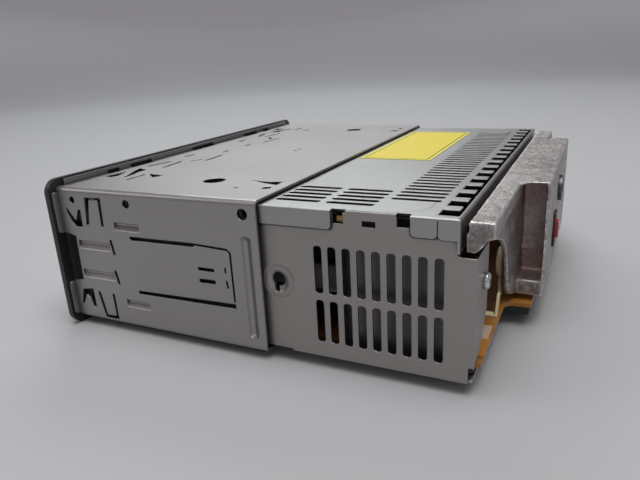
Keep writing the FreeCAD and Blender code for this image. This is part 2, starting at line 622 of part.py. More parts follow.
def capacitors():
    edge = inner_case - 3.1
    cans = []
    spots = ((edge - 22.5, BOARD_REAR - 9.2, 5.0, 13.0), (14.5 - edge, BOARD_REAR - 17.2, 6.5, 15.5),
             (30.5 - edge, BOARD_REAR - 11.2, 5.0, 14.0), (edge - 12.5, 60.0, 4.0, 9.0),
             (12.5 - edge, 60.0, 4.0, 9.0))
    for x, y, radius, height in spots:
        can = rod("z", (x, y, board_top), radius, height)
        crown = [e for e in can.Edges if len(e.Vertexes) == 1 and e.Vertexes[0].Z > board_top + 1]
        cans.append(can.makeFillet(0.6, crown))
    return Part.makeCompound(cans)


def board_chips():
    chips = []
    for x, y, a, b in ((20.0, 60.0, 14.0, 14.0), (-20.0, 56.0, 10.0, 10.0), (-10.0, 90.0, 18.0, 8.0),
                       (50.0, 96.0, 8.0, 12.0)):
        chips.append(box(x - a / 2, x + a / 2, y - b / 2, y + b / 2, board_top, board_top + 1.6))
    return Part.makeCompound(chips)


def amplifier_chip():
    body = box(-58.0, -28.0, 152.6, SINK_WALL_FRONT, -12.0, 4.0)
    pins = [box(-57.0 + k * 2.2, -56.2 + k * 2.2, 154.0, 154.8, board_top, -12.0) for k in range(13)]
    return fuse([body] + pins)


def noise_capacitor():
    """A dipped disc that stands on the board on two wire legs, close in front of the heat sink."""
    x, y, z = TAIL_NEAR - 2.0, SINK_WALL_FRONT - 3.0, -5.2
    disc = rod("y", (x, y, z), 5.6, 2.4)
    rims = [e for e in disc.Edges if len(e.Vertexes) == 1]
    disc = disc.makeFillet(1.0, rims)
    legs = [rod("z", (x + s, y + 1.2, board_top), 0.4, z - 3.0 - board_top) for s in (-2.5, 2.5)]
    return fuse([disc] + legs)


def tuner_can():
    side = inner_case - 5.4
    return soft_box(-side, 22.2 - side, 80.0, 126.0, board_top, board_top + 11.0, "z", 0.8)


def ground_clip():
    low = board_top
    leg = plate(((49.8, low), (52.8, low), (49.4, low + 6.4), (48.6, low + 7.4), (47.2, low + 7.4),
                 (46.6, low + 6.4)),
                "y", BOARD_REAR - 1.4, BOARD_REAR - 0.6)
    foot = box(49.8, 52.8, BOARD_REAR - 5.4, BOARD_REAR - 0.6, low, low + 0.8)
    return fuse([leg, foot])


# Nose and face.

def front_nose():
    wide, high = half_sleeve - SLEEVE_SHEET - 1.5, case_top - 0.2
    shell = soft_box(-wide, wide, -2.8, NOSE_REAR, -high, high, "y", 1.5)
    shell = shell.cut(box(-wide + 1.8, wide - 1.8, 0.0, NOSE_REAR + 1, -high + 1.8, high - 1.8))
    tabs = []
    for side in (-1.0, 1.0):
        x0, x1 = sorted((side * (inner_case - 2.0), side * inner_case))
        tabs.append(box(x0, x1, 9.0, 26.0, -18.0, -12.0))
        tabs.append(box(x0, x1, 9.0, 26.0, 10.0, 16.0))
        x0, x1 = sorted((side * (SLOT_W / 2 + 0.6), side * (SLOT_W / 2 + 3.6)))
        tabs.append(box(x0, x1, -0.5, 3.2, 12.6, 18.4))
    shell = fuse([shell] + tabs)
    shell = shell.cut(rod("x", (-SLOT_W / 2 - 3.0, 1.4, 16.2), 0.75, SLOT_W + 6.0))
    shell = shell.cut(box(20.0, 46.0, -4.0, 1.0, -19.0, -13.0))
    return shell.cut(box(-SLOT_W / 2, SLOT_W / 2, -4.0, 1.0, DISC_Z - SLOT_H / 2, DISC_Z + SLOT_H / 2))


def slot_flap():
    bar = rod("x", (-SLOT_W / 2 - 2.6, 1.4, 16.2), 0.65, SLOT_W + 5.2)
    leaf = box(-SLOT_W / 2 - 0.2, SLOT_W / 2 + 0.2, 1.1, 1.7, DISC_Z - 3.4, 16.0)
    return bar.fuse(leaf)


def contact_block():
    block = box(20.0, 46.0, -3.0, 1.6, -19.0, -13.0)
    pads = [box(21.5 + k * 3.0, 23.0 + k * 3.0, -3.1, -2.9, -18.0, -14.0) for k in range(8)]
    return fuse([block] + pads)


def face_outline(grow):
    end = face_half - grow
    return ((-end, FACE_REAR + 0.01), (-end, FACE_END + grow), (-end + FACE_BEVEL, FACE_FRONT + grow),
            (end - FACE_BEVEL, FACE_FRONT + grow), (end, FACE_END + grow), (end, FACE_REAR + 0.01))


# Keys on the face: middle x, middle z, width, height.
key_room = face_half - FACE_BEVEL - SLOT_W / 2
outer_left = SLOT_W / 2 + 2.4 + 0.08 * key_room
outer_right = face_half - FACE_BEVEL - 0.2 * key_room
outer_column = (outer_left + outer_right) / 2
outer_width = outer_right - outer_left
inner_column = outer_left - 8.1
window_left = knob_x + KNOB_R + 9.0
window_right = inner_column - 12.5
low_row = -face_height + 5.8
KEYS = {
    "preset_key_1": (-38.0, low_row, 13.6, 5.4), "preset_key_2": (-22.8, low_row, 13.6, 5.4),
    "preset_key_3": (-7.6, low_row, 13.6, 5.4), "preset_key_4": (7.6, low_row, 13.6, 5.4),
    "preset_key_5": (22.8, low_row, 13.6, 5.4), "preset_key_6": (38.0, low_row, 13.6, 5.4),
    "eject_key": (outer_column, DISC_Z, outer_width, 5.0), "source_key": (inner_column, 2.6, 11.0, 5.6),
    "band_key": (outer_column, 2.6, outer_width, 5.6), "seek_back_key": (inner_column, -6.8, 11.0, 6.6),
    "seek_next_key": (outer_column, -6.8, outer_width, 6.6),
    "release_button": (face_half - 21.0, low_row, 17.0, 5.4),
}


def face_shell():
    shell = plate(face_outline(0.0), "z", -face_height, face_height)
    shell = round_edges(shell, "z", 0.8)
    rim = [e for e in shell.Edges if all(abs(abs(v.Point.z) - face_height) < 1e-6 for v in e.Vertexes)
           and all(v.Point.y < FACE_REAR - 1.0 for v in e.Vertexes)]
    shell = shell.makeFillet(0.7, rim)
    room = plate(face_outline(FACE_WALL), "z", -face_height + FACE_WALL, face_height - FACE_WALL)
    room = room.fuse(box(-face_half + FACE_WALL, face_half - FACE_WALL, FACE_REAR - 1, 0.0,
                         -face_height + FACE_WALL, face_height - FACE_WALL))
    shell = shell.cut(room)
    throat = box(-SLOT_W / 2 - 1.4, SLOT_W / 2 + 1.4, FACE_FRONT + 0.5, FACE_REAR - 1.8,
                 DISC_Z - SLOT_H / 2 - 1.4,
                 DISC_Z + SLOT_H / 2 + 1.4)
    shell = shell.fuse(throat)
    cuts = [box(-SLOT_W / 2, SLOT_W / 2, FACE_FRONT - 1, 0.0, DISC_Z - SLOT_H / 2, DISC_Z + SLOT_H / 2)]
    for x, z, w, h in KEYS.values():
        cuts.append(soft_box(x - w / 2 - KEY_GAP, x + w / 2 + KEY_GAP, FACE_FRONT - 1,
                             FACE_FRONT + FACE_WALL + 1,
                             z - h / 2 - KEY_GAP, z + h / 2 + KEY_GAP, "y", 1.0))
    cuts.append(box(window_left, window_right, FACE_FRONT - 1, FACE_FRONT + FACE_WALL + 1, WINDOW_LOW,
                    WINDOW_TOP))
    cuts.append(rod("y", (knob_x, FACE_FRONT - 1, KNOB_Z), KNOB_R + 0.5, 2.2))
    cuts.append(rod("y", (knob_x, FACE_FRONT - 1, KNOB_Z), 3.6, 6.0))
    return shell.cut(Part.makeCompound(cuts))


def face_back():
    back = box(-face_half + FACE_WALL, face_half - FACE_WALL, FACE_REAR - 1.6, FACE_REAR,
               -face_height + FACE_WALL, face_height - FACE_WALL)
    hole = box(-SLOT_W / 2, SLOT_W / 2, FACE_REAR - 3, 0.0, DISC_Z - SLOT_H / 2, DISC_Z + SLOT_H / 2)
    contacts = box(19.0, 47.0, FACE_REAR - 3, 0.0, -20.0, -12.0)
    return back.cut(hole).cut(contacts)


def face_board():
    low = DISC_Z - SLOT_H / 2 - 1.6
    board = box(-face_half + 6.0, face_half - 6.0, -7.5, -6.1, -face_height + FACE_WALL, low)
    board = board.fuse(box(SLOT_W / 2 + 1.6, face_half - 6.0, -7.5, -6.1, low - 1.0, DISC_Z + 4.0))
    domes = [rod("y", (x, -8.1, z), 1.6, 0.7) for x, z, w, h in KEYS.values()]
    collar = rod("y", (knob_x, -9.6, KNOB_Z), 5.5, 2.2).cut(rod("y", (knob_x, -10.0, KNOB_Z), 3.0 + RUN, 2.0))
    return fuse([board, collar] + domes)


def display_window():
    pane = box(window_left, window_right, FACE_FRONT, FACE_FRONT + FACE_WALL, WINDOW_LOW, WINDOW_TOP)
    module = box(window_left + 3.0, window_right - 3.0, FACE_FRONT + FACE_WALL, -7.5, WINDOW_LOW + 1.0,
                 WINDOW_TOP - 1.0)
    return pane.fuse(module)


def push_key(x, z, w, h):
    cap = soft_box(x - w / 2, x + w / 2, FACE_FRONT - KEY_PROUD, FACE_FRONT + FACE_WALL + 0.2, z - h / 2,
                   z + h / 2,
                   "y", 0.8)
    front = [e for e in cap.Edges if all(abs(v.Point.y - FACE_FRONT + KEY_PROUD) < 1e-6 for v in e.Vertexes)]
    cap = cap.makeFillet(0.35, front)
    flange = box(x - w / 2 - KEY_FLANGE * 0.7, x + w / 2 + KEY_FLANGE * 0.7, FACE_FRONT + FACE_WALL + 0.1,
                 FACE_FRONT + FACE_WALL + 1.0, z - h / 2 - 0.9, z + h / 2 + 0.9)
    return cap.fuse(flange)


def volume_knob():
    cap = rod("y", (knob_x, KNOB_FRONT, KNOB_Z), KNOB_R, FACE_FRONT + 1.0 - KNOB_FRONT)
    front = [e for e in cap.Edges if all(abs(v.Point.y - KNOB_FRONT) < 1e-6 for v in e.Vertexes)]
    cap = cap.makeFillet(1.0, front)
    ribs = []
    for k in range(36):
        a = math.radians(k * 10.0)
        at = (knob_x + (KNOB_R + 0.25) * math.cos(a), KNOB_FRONT + 1.4,
              KNOB_Z + (KNOB_R + 0.25) * math.sin(a))
        ribs.append(rod("y", at, 0.45, 8.0))
    cap = cap.cut(Part.makeCompound(ribs))
    mark = rod("y", (knob_x, KNOB_FRONT - 1, KNOB_Z + 9.0), 1.1, 1.4)
    shaft = rod("y", (knob_x, FACE_FRONT, KNOB_Z), 3.0, 3.6)
    return cap.cut(mark).fuse(shaft)


# Disc mechanism.

def mech_brackets():
    inside = bracket_out
    rail = box(deck_half - 9.0, inside, DECK_FRONT + 4.0, DECK_REAR - 3.0, -4.2, -3.2)
    fold = box(inner_case - 1.0, inner_case, DECK_FRONT + 4.0, 84.0, -12.0, -3.4)
    reach = box(inside - 0.5, inner_case - 0.5, DECK_FRONT + 4.0, 84.0, -4.2, -3.4)
    low = case_bottom + 2 * SHEET
    shield = box(inside, inside + 0.8, SHIELD_FRONT, SHIELD_REAR, low, case_top - 9.0)
    shield = shield.fuse(box(inside, inside + 3.6, SHIELD_FRONT, SHIELD_FRONT + 0.8, low + 5.0,
                             case_top - 10.0))
    bracket = fuse([rail, fold, reach, shield])
    for x, y in grommet_spots:
        bracket = bracket.fuse(rod("z", (x, y, -3.4), 1.5, 7.4))
    for y, z in ((126.6, -6.4), (136.1, -7.0), (145.6, -7.6)):
        bracket = bracket.fuse(rod("x", (inside + 0.7, y, z), 1.0, 0.7))
    return Part.makeCompound([bracket, mirrored(bracket)])


def mech_deck():
    floor = box(-deck_half, deck_half, DECK_FRONT, DECK_REAR, DECK_FLOOR, DECK_FLOOR + 1.0)
    wall = box(deck_half - 1.0, deck_half, DECK_FRONT, DECK_REAR - 1.0, DECK_FLOOR, DECK_WALL_TOP)
    ear = box(deck_half - 1.0, deck_half, ARM_Y - 5.0, ARM_Y + 5.0, DECK_FLOOR, ARM_Z + 3.0)
    deck = fuse([floor, both_sides(wall), both_sides(ear)])
    deck = deck.cut(rod("z", (0, SPINDLE_Y, -2.0), 5.0, 5.0))
    deck = deck.cut(box(-14.0, 14.0, LENS_Y - 9.0, LENS_Y + 38.6, -1.0, 2.0))
    for x, y in grommet_spots:
        deck = deck.cut(both_sides(rod("z", (x, y, -2.0), GROMMET_R, 5.0)))
    reach = 2 * deck_half + 12.0
    deck = deck.cut(rod("x", (-reach / 2, ROLLER_Y, roller_z), PIN_R + RUN, reach))
    deck = deck.cut(rod("x", (-reach / 2, ARM_Y, ARM_Z), PIN_R + RUN, reach))
    deck = deck.cut(rod("x", (deck_half - 24.0, gear_y, roller_z), PIN_R + RUN, 30.0))
    deck = deck.cut(rod("x", (deck_half - 4.0, pinion_y, roller_z), MOTOR_PIN_R + RUN, 10.0))
    posts = []
    for x in (-ROD_X, ROD_X):
        for y in (LENS_Y - 12.4, LENS_Y + 39.4):
            posts.append(box(x - 2.4, x + 2.4, y - 1.2, y + 1.2, DECK_FLOOR + 0.5, ROD_Z + 2.0))
    for y in (LENS_Y - 11.0, LENS_Y + 39.4):
        posts.append(box(SCREW_X - 2.6, SCREW_X + 2.6, y - 1.0, y + 1.2, DECK_FLOOR + 0.5, ROD_Z + 2.4))
    deck = fuse([deck] + posts)
    for x in (-ROD_X, ROD_X):
        deck = deck.cut(rod("y", (x, LENS_Y - 21.0, ROD_Z), ROD_R, 70.0))
    return deck.cut(rod("y", (SCREW_X, LENS_Y - 15.0, ROD_Z), SCREW_R + RUN, 60.0))


def grommets():
    rings = []
    for spot_x, y in grommet_spots:
        for x in (-spot_x, spot_x):
            ring = fuse([rod("z", (x, y, -1.6), GROMMET_R + 1.2, 1.6), rod("z", (x, y, 0.0), GROMMET_R, 1.0),
                         rod("z", (x, y, 1.0), GROMMET_R + 1.2, 1.6)])
            rings.append(ring.cut(rod("z", (x, y, -3.0), 1.6, 8.0)))
    return Part.makeCompound(rings)


def guide_rods():
    return Part.makeCompound([rod("y", (x, LENS_Y - 13.6, ROD_Z), ROD_R, 54.2) for x in (-ROD_X, ROD_X)])


def sled_screw():
    return rod("y", (SCREW_X, LENS_Y - 12.6, ROD_Z), SCREW_R, 53.4)


def sled_motor():
    y = LENS_Y - 35.0
    can = rod("y", (SCREW_X, y, ROD_Z + 1.4), 5.4, 20.0)
    cut = box(SCREW_X - 6, SCREW_X + 6, y - 6.0, y + 24.0, -5.0, DECK_FLOOR + 1.0)
    nose = rod("y", (SCREW_X, y + 20.0, ROD_Z), 2.6, 3.0)
    nose = nose.cut(rod("y", (SCREW_X, y + 22.0, ROD_Z), SCREW_R + RUN, 3.0))
    return can.cut(cut).fuse(nose)


def optical_sled():
    y0, y1 = LENS_Y - SLED_HALF, LENS_Y + SLED_HALF
    body = soft_box(-13.0, 13.0, y0, y1, -5.0, 7.4, "z", 1.2)
    wings = box(-ROD_X - 3.0, ROD_X + 3.0, y0 + 3.0, y1 - 3.0, 1.6, 7.4)
    nut = box(SCREW_X - 3.0, -ROD_X, LENS_Y - 3.0, LENS_Y + 3.0, 1.8, 7.2)
    sled = fuse([body, wings, nut])
    for x in (-ROD_X, ROD_X):
        sled = sled.cut(rod("y", (x, y0 - 1, ROD_Z), ROD_R + RUN, 2 * SLED_HALF + 2))
    sled = sled.cut(rod("y", (SCREW_X, y0 - 1, ROD_Z), SCREW_R + RUN, 2 * SLED_HALF + 2))
    return sled.cut(rod("z", (0, LENS_Y, 3.6), 5.0, 6.0))


def lens_holder():
    ring = soft_box(-4.0, 4.0, LENS_Y - 2.5, LENS_Y + 2.5, 5.0, 8.6, "z", 1.0)
    dome = Part.makeSphere(2.9, V(0, LENS_Y, 6.6)).common(box(-4, 4, LENS_Y - 4, LENS_Y + 4, 8.0, 12.0))
    return ring.fuse(dome)


def spindle_motor():
    can = rod("z", (0, SPINDLE_Y, -8.0), 12.0, 8.0)
    boss = rod("z", (0, SPINDLE_Y, 0.0), 4.9, 2.0)
    return can.fuse(boss).cut(rod("z", (0, SPINDLE_Y, -4.0), 1.0 + RUN, 8.0))


def turntable():
    disc_rest = DISC_Z - 0.6
    pad = rod("z", (0, SPINDLE_Y, disc_rest - 1.6), 14.5, 1.6)
    hub = Part.makeCone(7.4, 6.4, 1.6, V(0, SPINDLE_Y, disc_rest), V(0, 0, 1))
    shaft = rod("z", (0, SPINDLE_Y, -3.6), 1.0, disc_rest - 1.0 + 3.6)
    return fuse([pad, hub, shaft])


def clamp_arm():
    wide = deck_half - 2.0
    arm = plate(((-30.0, 66.0), (30.0, 66.0), (wide, ARM_Y - 14.0), (wide, ARM_Y + 2.0), (-wide, ARM_Y + 2.0),
                 (-wide, ARM_Y - 14.0)), "z", ARM_Z - 0.5, ARM_Z + 0.5)
    arm = arm.cut(rod("z", (0, SPINDLE_Y, 10.0), 6.6, 12.0))
    arm = arm.cut(plate(((-26.0, 100.0), (26.0, 100.0), (44.0, 126.0), (-44.0, 126.0)), "z", 10.0, 22.0))
    pins = [rod("x", (x, ARM_Y, ARM_Z), PIN_R, 6.0) for x in (-deck_half - 0.6, deck_half - 5.4)]
    return fuse([arm] + pins)


def clamper():
    low = rod("z", (0, SPINDLE_Y, 13.4), 13.5, 2.2)
    low = low.cut(Part.makeCone(8.0, 7.0, 1.5, V(0, SPINDLE_Y, 13.3), V(0, 0, 1)))
    stem = rod("z", (0, SPINDLE_Y, 15.0), 6.0, ARM_Z - 14.0)
    cap = rod("z", (0, SPINDLE_Y, ARM_Z + 0.65), 8.6, 0.6)
    return fuse([low, stem, cap])


def roller_shaft():
    return rod("x", (-deck_half - 1.0, ROLLER_Y, roller_z), PIN_R, 2 * deck_half + 6.4)


def feed_roller():
    end = deck_half - 2.5
    sleeves = []
    for x0, x1 in ((-end, -4.0), (4.0, end)):
        tube = Part.makeCone(ROLLER_R, ROLLER_R - 0.5, x1 - x0, V(x0, ROLLER_Y, roller_z), V(1, 0, 0))
        if x0 > 0:
            tube = Part.makeCone(ROLLER_R - 0.5, ROLLER_R, x1 - x0, V(x0, ROLLER_Y, roller_z), V(1, 0, 0))
        sleeves.append(tube.cut(rod("x", (x0 - 1, ROLLER_Y, roller_z), PIN_R, x1 - x0 + 2)))
    return Part.makeCompound(sleeves)


def toothed(x, y, z, tip, teeth, wide, bore):
    gear = rod("x", (x, y, z), tip, wide)
    gaps = []
    for k in range(teeth):
        a = 2 * math.pi * k / teeth
        gaps.append(rod("x", (x - 1, y + tip * math.cos(a), z + tip * math.sin(a)), tip * 1.7 / teeth,
                        wide + 2))
    return gear.cut(Part.makeCompound(gaps)).cut(rod("x", (x - 1, y, z), bore, wide + 2))


def roller_gear():
    return toothed(deck_half + 1.0, ROLLER_Y, roller_z, 6.0, 20, 3.0, PIN_R)


def loading_gear():
    wheel = toothed(deck_half + 1.0, gear_y, roller_z, 9.0, 30, 3.0, PIN_R)
    return wheel.fuse(rod("x", (deck_half - 2.6, gear_y, roller_z), PIN_R, 6.6))


def loading_motor():
    front = deck_half - 24.0
    can = rod("x", (front, pinion_y, roller_z), 6.4, 23.0)
    foot = box(front + 2.0, front + 20.0, pinion_y - 4.0, pinion_y + 4.0, DECK_FLOOR + 1.0, roller_z - 4.0)
    return fuse([can, foot]).cut(rod("x", (front + 10.0, pinion_y, roller_z), MOTOR_PIN_R + RUN, 20.0))


def motor_pinion():
    wheel = toothed(deck_half + 1.0, pinion_y, roller_z, 2.8, 10, 3.0, MOTOR_PIN_R)
    return wheel.fuse(rod("x", (deck_half - 13.0, pinion_y, roller_z), MOTOR_PIN_R, 17.0))


def disc_guide():
    wide = deck_half - 1.0
    bar = box(-wide, wide, DECK_FRONT, DECK_FRONT + 10.0, DISC_Z + 1.4, DISC_Z + 3.2)
    return bar.cut(box(-20.0, 20.0, DECK_FRONT + 2.0, DECK_FRONT + 8.0, DISC_Z, DISC_Z + 5))


PARTS = {
    "mounting_sleeve": mounting_sleeve, "trim_ring": trim_ring, "case_frame": case_frame,
    "top_cover": top_cover,
    "bottom_cover": bottom_cover, "rear_screws": rear_screws, "bottom_screws": bottom_screws,
    "rating_label": rating_label, "heat_sink": heat_sink, "antenna_socket": antenna_socket,
    "power_connector": power_connector, "fuse_holder": fuse_holder, "blade_fuse": blade_fuse,
    "main_board": main_board, "capacitors": capacitors, "board_chips": board_chips,
    "amplifier_chip": amplifier_chip, "noise_capacitor": noise_capacitor, "tuner_can": tuner_can,
    "ground_clip": ground_clip, "front_nose": front_nose, "slot_flap": slot_flap,
    "contact_block": contact_block, "face_shell": face_shell, "face_back": face_back,
    "face_board": face_board,
    "display_window": display_window, "volume_knob": volume_knob, "mech_brackets": mech_brackets,
    "mech_deck": mech_deck, "grommets": grommets, "guide_rods": guide_rods, "sled_screw": sled_screw,
    "sled_motor": sled_motor, "optical_sled": optical_sled, "lens_holder": lens_holder,
    "spindle_motor": spindle_motor, "turntable": turntable, "clamp_arm": clamp_arm, "clamper": clamper,
    "roller_shaft": roller_shaft, "feed_roller": feed_roller, "roller_gear": roller_gear,
    "loading_gear": loading_gear, "loading_motor": loading_motor, "motor_pinion": motor_pinion,
    "disc_guide": disc_guide,
}

for name, make in PARTS.items():
    save(name, make())
for name, spot in KEYS.items():
    save(name, push_key(*spot))
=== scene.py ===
# %% [markdown]
# # A car disc player in its mounting sleeve
# The part comes from a solid modeller as a fixed frame of named nodes. This lesson dresses it: it gives
# every node a finish made of shader nodes, builds the pieces whose real surface a plain solid can't
# show, and sets up the camera and the light of the photograph. All lengths are in metres.

# %% Load the frame
import math

import bmesh
import bpy
from mathutils import Matrix, Vector, noise


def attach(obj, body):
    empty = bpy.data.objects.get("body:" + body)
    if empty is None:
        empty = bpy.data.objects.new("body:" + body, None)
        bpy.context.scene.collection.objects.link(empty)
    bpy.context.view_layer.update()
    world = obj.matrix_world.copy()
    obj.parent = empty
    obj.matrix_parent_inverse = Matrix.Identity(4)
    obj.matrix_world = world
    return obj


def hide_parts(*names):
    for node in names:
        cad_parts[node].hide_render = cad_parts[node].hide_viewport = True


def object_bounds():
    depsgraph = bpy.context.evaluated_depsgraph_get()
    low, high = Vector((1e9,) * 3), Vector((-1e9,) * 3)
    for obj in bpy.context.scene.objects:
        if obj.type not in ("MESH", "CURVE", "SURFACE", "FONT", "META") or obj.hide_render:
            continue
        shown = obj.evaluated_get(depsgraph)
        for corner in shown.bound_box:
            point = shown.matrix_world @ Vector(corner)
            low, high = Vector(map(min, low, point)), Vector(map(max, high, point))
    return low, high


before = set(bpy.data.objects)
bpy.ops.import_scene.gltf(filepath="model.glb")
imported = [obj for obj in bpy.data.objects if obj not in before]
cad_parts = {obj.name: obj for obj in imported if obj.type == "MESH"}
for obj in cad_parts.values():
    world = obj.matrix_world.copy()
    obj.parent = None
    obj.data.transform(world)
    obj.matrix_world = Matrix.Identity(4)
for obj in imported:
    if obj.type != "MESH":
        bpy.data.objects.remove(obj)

MM = 0.001
cad_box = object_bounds()

# %% [markdown]
# ## The camera
# The photograph was taken from behind the unit's right side, a little above it, and close by, so the
# lines run together strongly. The camera's place was worked out from straight edges of the sleeve and
# the case, whose real sizes are known. It is written as a place, two angles and a roll.

# %% Camera
CAMERA_AT = Vector((0.23501, 0.18226, 0.06904))
AZIMUTH, ELEVATION, ROLL = 116.605, 18.206, -3.134
FOCAL_PIXELS = 567.6


def camera_axes(azimuth, elevation, roll):
    """The camera's right, up and viewing directions; azimuth 0 looks along +Y and 90 along -X."""
    a, e, r = (math.radians(v) for v in (azimuth, elevation, roll))
    look = Vector((-math.sin(a) * math.cos(e), math.cos(a) * math.cos(e), -math.sin(e)))
    right = look.cross(Vector((0, 0, 1))).normalized()
    up = right.cross(look)
    return right * math.cos(r) + up * math.sin(r), up * math.cos(r) - right * math.sin(r), look


right, up, look = camera_axes(AZIMUTH, ELEVATION, ROLL)
lens = bpy.data.cameras.new("camera")
lens.sensor_width = 36.0
lens.lens = FOCAL_PIXELS / 640 * 36.0
lens.clip_start = 0.01
camera = bpy.data.objects.new("camera", lens)
camera.matrix_world = Matrix.Translation(CAMERA_AT) @ Matrix((right, up, -look)).transposed().to_4x4()
bpy.context.scene.collection.objects.link(camera)
bpy.context.scene.camera = camera
print("camera: lens", round(lens.lens, 2), "mm")

# %% [markdown]
# ## Shader maths as Python
# Writing a texture by clicking is slow to read back. Here a small class wraps a socket, so `a * b + 1`
# adds Math nodes, and one method of the material adds any other node: its settings first, then what
# goes into its sockets.


# %% Values
class Value:
    """A number that changes over a surface. Arithmetic on it adds Math nodes."""

    def __init__(self, look, socket):
        self.look, self.socket = look, socket

    def math(self, operation, *others, clamp=False):
        sockets = {i: v for i, v in enumerate((self,) + others)}
        return self.look.node("ShaderNodeMath", {"operation": operation, "use_clamp": clamp}, sockets)

    def flipped(self, operation, other):
        return self.look.node("ShaderNodeMath", {"operation": operation}, {0: other, 1: self})

    def __add__(self, other): return self.math("ADD", other)
    def __radd__(self, other): return self.math("ADD", other)
    def __sub__(self, other): return self.math("SUBTRACT", other)
    def __rsub__(self, other): return self.flipped("SUBTRACT", other)
    def __mul__(self, other): return self.math("MULTIPLY", other)
    def __rmul__(self, other): return self.math("MULTIPLY", other)
    def __gt__(self, other): return self.math("GREATER_THAN", other)
    def __lt__(self, other): return self.math("LESS_THAN", other)
    def abs(self): return self.math("ABSOLUTE")

    def step(self, low, high):
        """0 below low, 1 above high, and a soft rise between; low may be above high."""
        return self.look.node("ShaderNodeMapRange", {"interpolation_type": "SMOOTHSTEP"},
                              {"Value": self, "From Min": low, "From Max": high})

    def within(self, low, high):
        """1 between two values and 0 outside them."""
        return (self > low) * (self < high)


# %% Materials
class Look:
    """One material, and the one method that adds nodes to it."""

    def __init__(self, name):
        self.material = bpy.data.materials.new(name)
        self.material.use_nodes = True
        self.tree = self.material.node_tree
        self.tree.nodes.clear()

    def node(self, kind, settings=None, sockets=None, out=0):
        node = self.tree.nodes.new(kind)
        for key, value in (settings or {}).items():
            setattr(node, key, value)
        for key, value in (sockets or {}).items():
            socket = node.inputs[key]
            if isinstance(value, Value):
                self.tree.links.new(value.socket, socket)
            elif socket.type == "RGBA" and len(value) == 3:
                socket.default_value = (*value, 1.0)
            else:
                socket.default_value = value
        return Value(self, node.outputs[out]) if node.outputs else None

    def place(self, stretch=(1, 1, 1)):
        """The point on the surface, in metres in the part's own frame, stretched along the axes."""
        point = self.node("ShaderNodeTexCoord", out=3)
        return self.node("ShaderNodeMapping", {"vector_type": "POINT"}, {"Vector": point, "Scale": stretch})

    def axes(self):
        """The three coordinates of the point on the surface, in millimetres."""
        point = self.node("ShaderNodeTexCoord", out=3)
        return [self.node("ShaderNodeSeparateXYZ", {}, {0: point}, out=i) * 1000.0 for i in range(3)]

    def cloud(self, size, stretch=(1, 1, 1), detail=3.0, rough=0.55):
        """Soft noise from 0 to 1, whose blobs are about size metres across."""
        return self.node("ShaderNodeTexNoise", {}, {"Vector": self.place(stretch), "Scale": 1.0 / size,
                                                    "Detail": detail, "Roughness": rough})

    def crevice(self, reach=0.0015):
        """1 in open air and towards 0 in corners, gaps and under lips, within reach metres."""
        return self.node("ShaderNodeAmbientOcclusion", {"samples": 6}, {"Distance": reach}, out=1)

    def mix(self, factor, a, b):
        return self.node("ShaderNodeMix", {"data_type": "RGBA"}, {0: factor, 6: a, 7: b}, out=2)

    def bump(self, height, depth, under=None):
        """A Bump node whose full height is depth metres."""
        sockets = {"Height": height, "Distance": depth, "Strength": 1.0}
        if under is not None:
            sockets["Normal"] = under
        return self.node("ShaderNodeBump", {}, sockets)

    def rounded(self, radius):
        return self.node("ShaderNodeBevel", {"samples": 4}, {"Radius": radius})

    def edges(self, radius):
        """1 along sharp edges and 0 elsewhere, from how far a bevelled normal leans from the true one."""
        soft = self.rounded(radius)
        true = self.node("ShaderNodeNewGeometry", out=1)
        lean = self.node("ShaderNodeVectorMath", {"operation": "DOT_PRODUCT"}, {0: soft, 1: true}, out=1)
        return (1.0 - lean).step(0.02, 0.25)

    def ridges(self, low=0.505, high=0.56):
        """1 on the ridges of a dense mesh and 0 on flats and in hollows."""
        return self.node("ShaderNodeNewGeometry", out=7).step(low, high)

    def surface(self, **sockets):
        """Ends the material with a Principled shader; names use _ for a blank."""
        named = {key.replace("_", " "): value for key, value in sockets.items()}
        shader = self.node("ShaderNodeBsdfPrincipled", {}, named)
        self.node("ShaderNodeOutputMaterial", {}, {0: shader})
        return self.material


print("shader helpers ready")
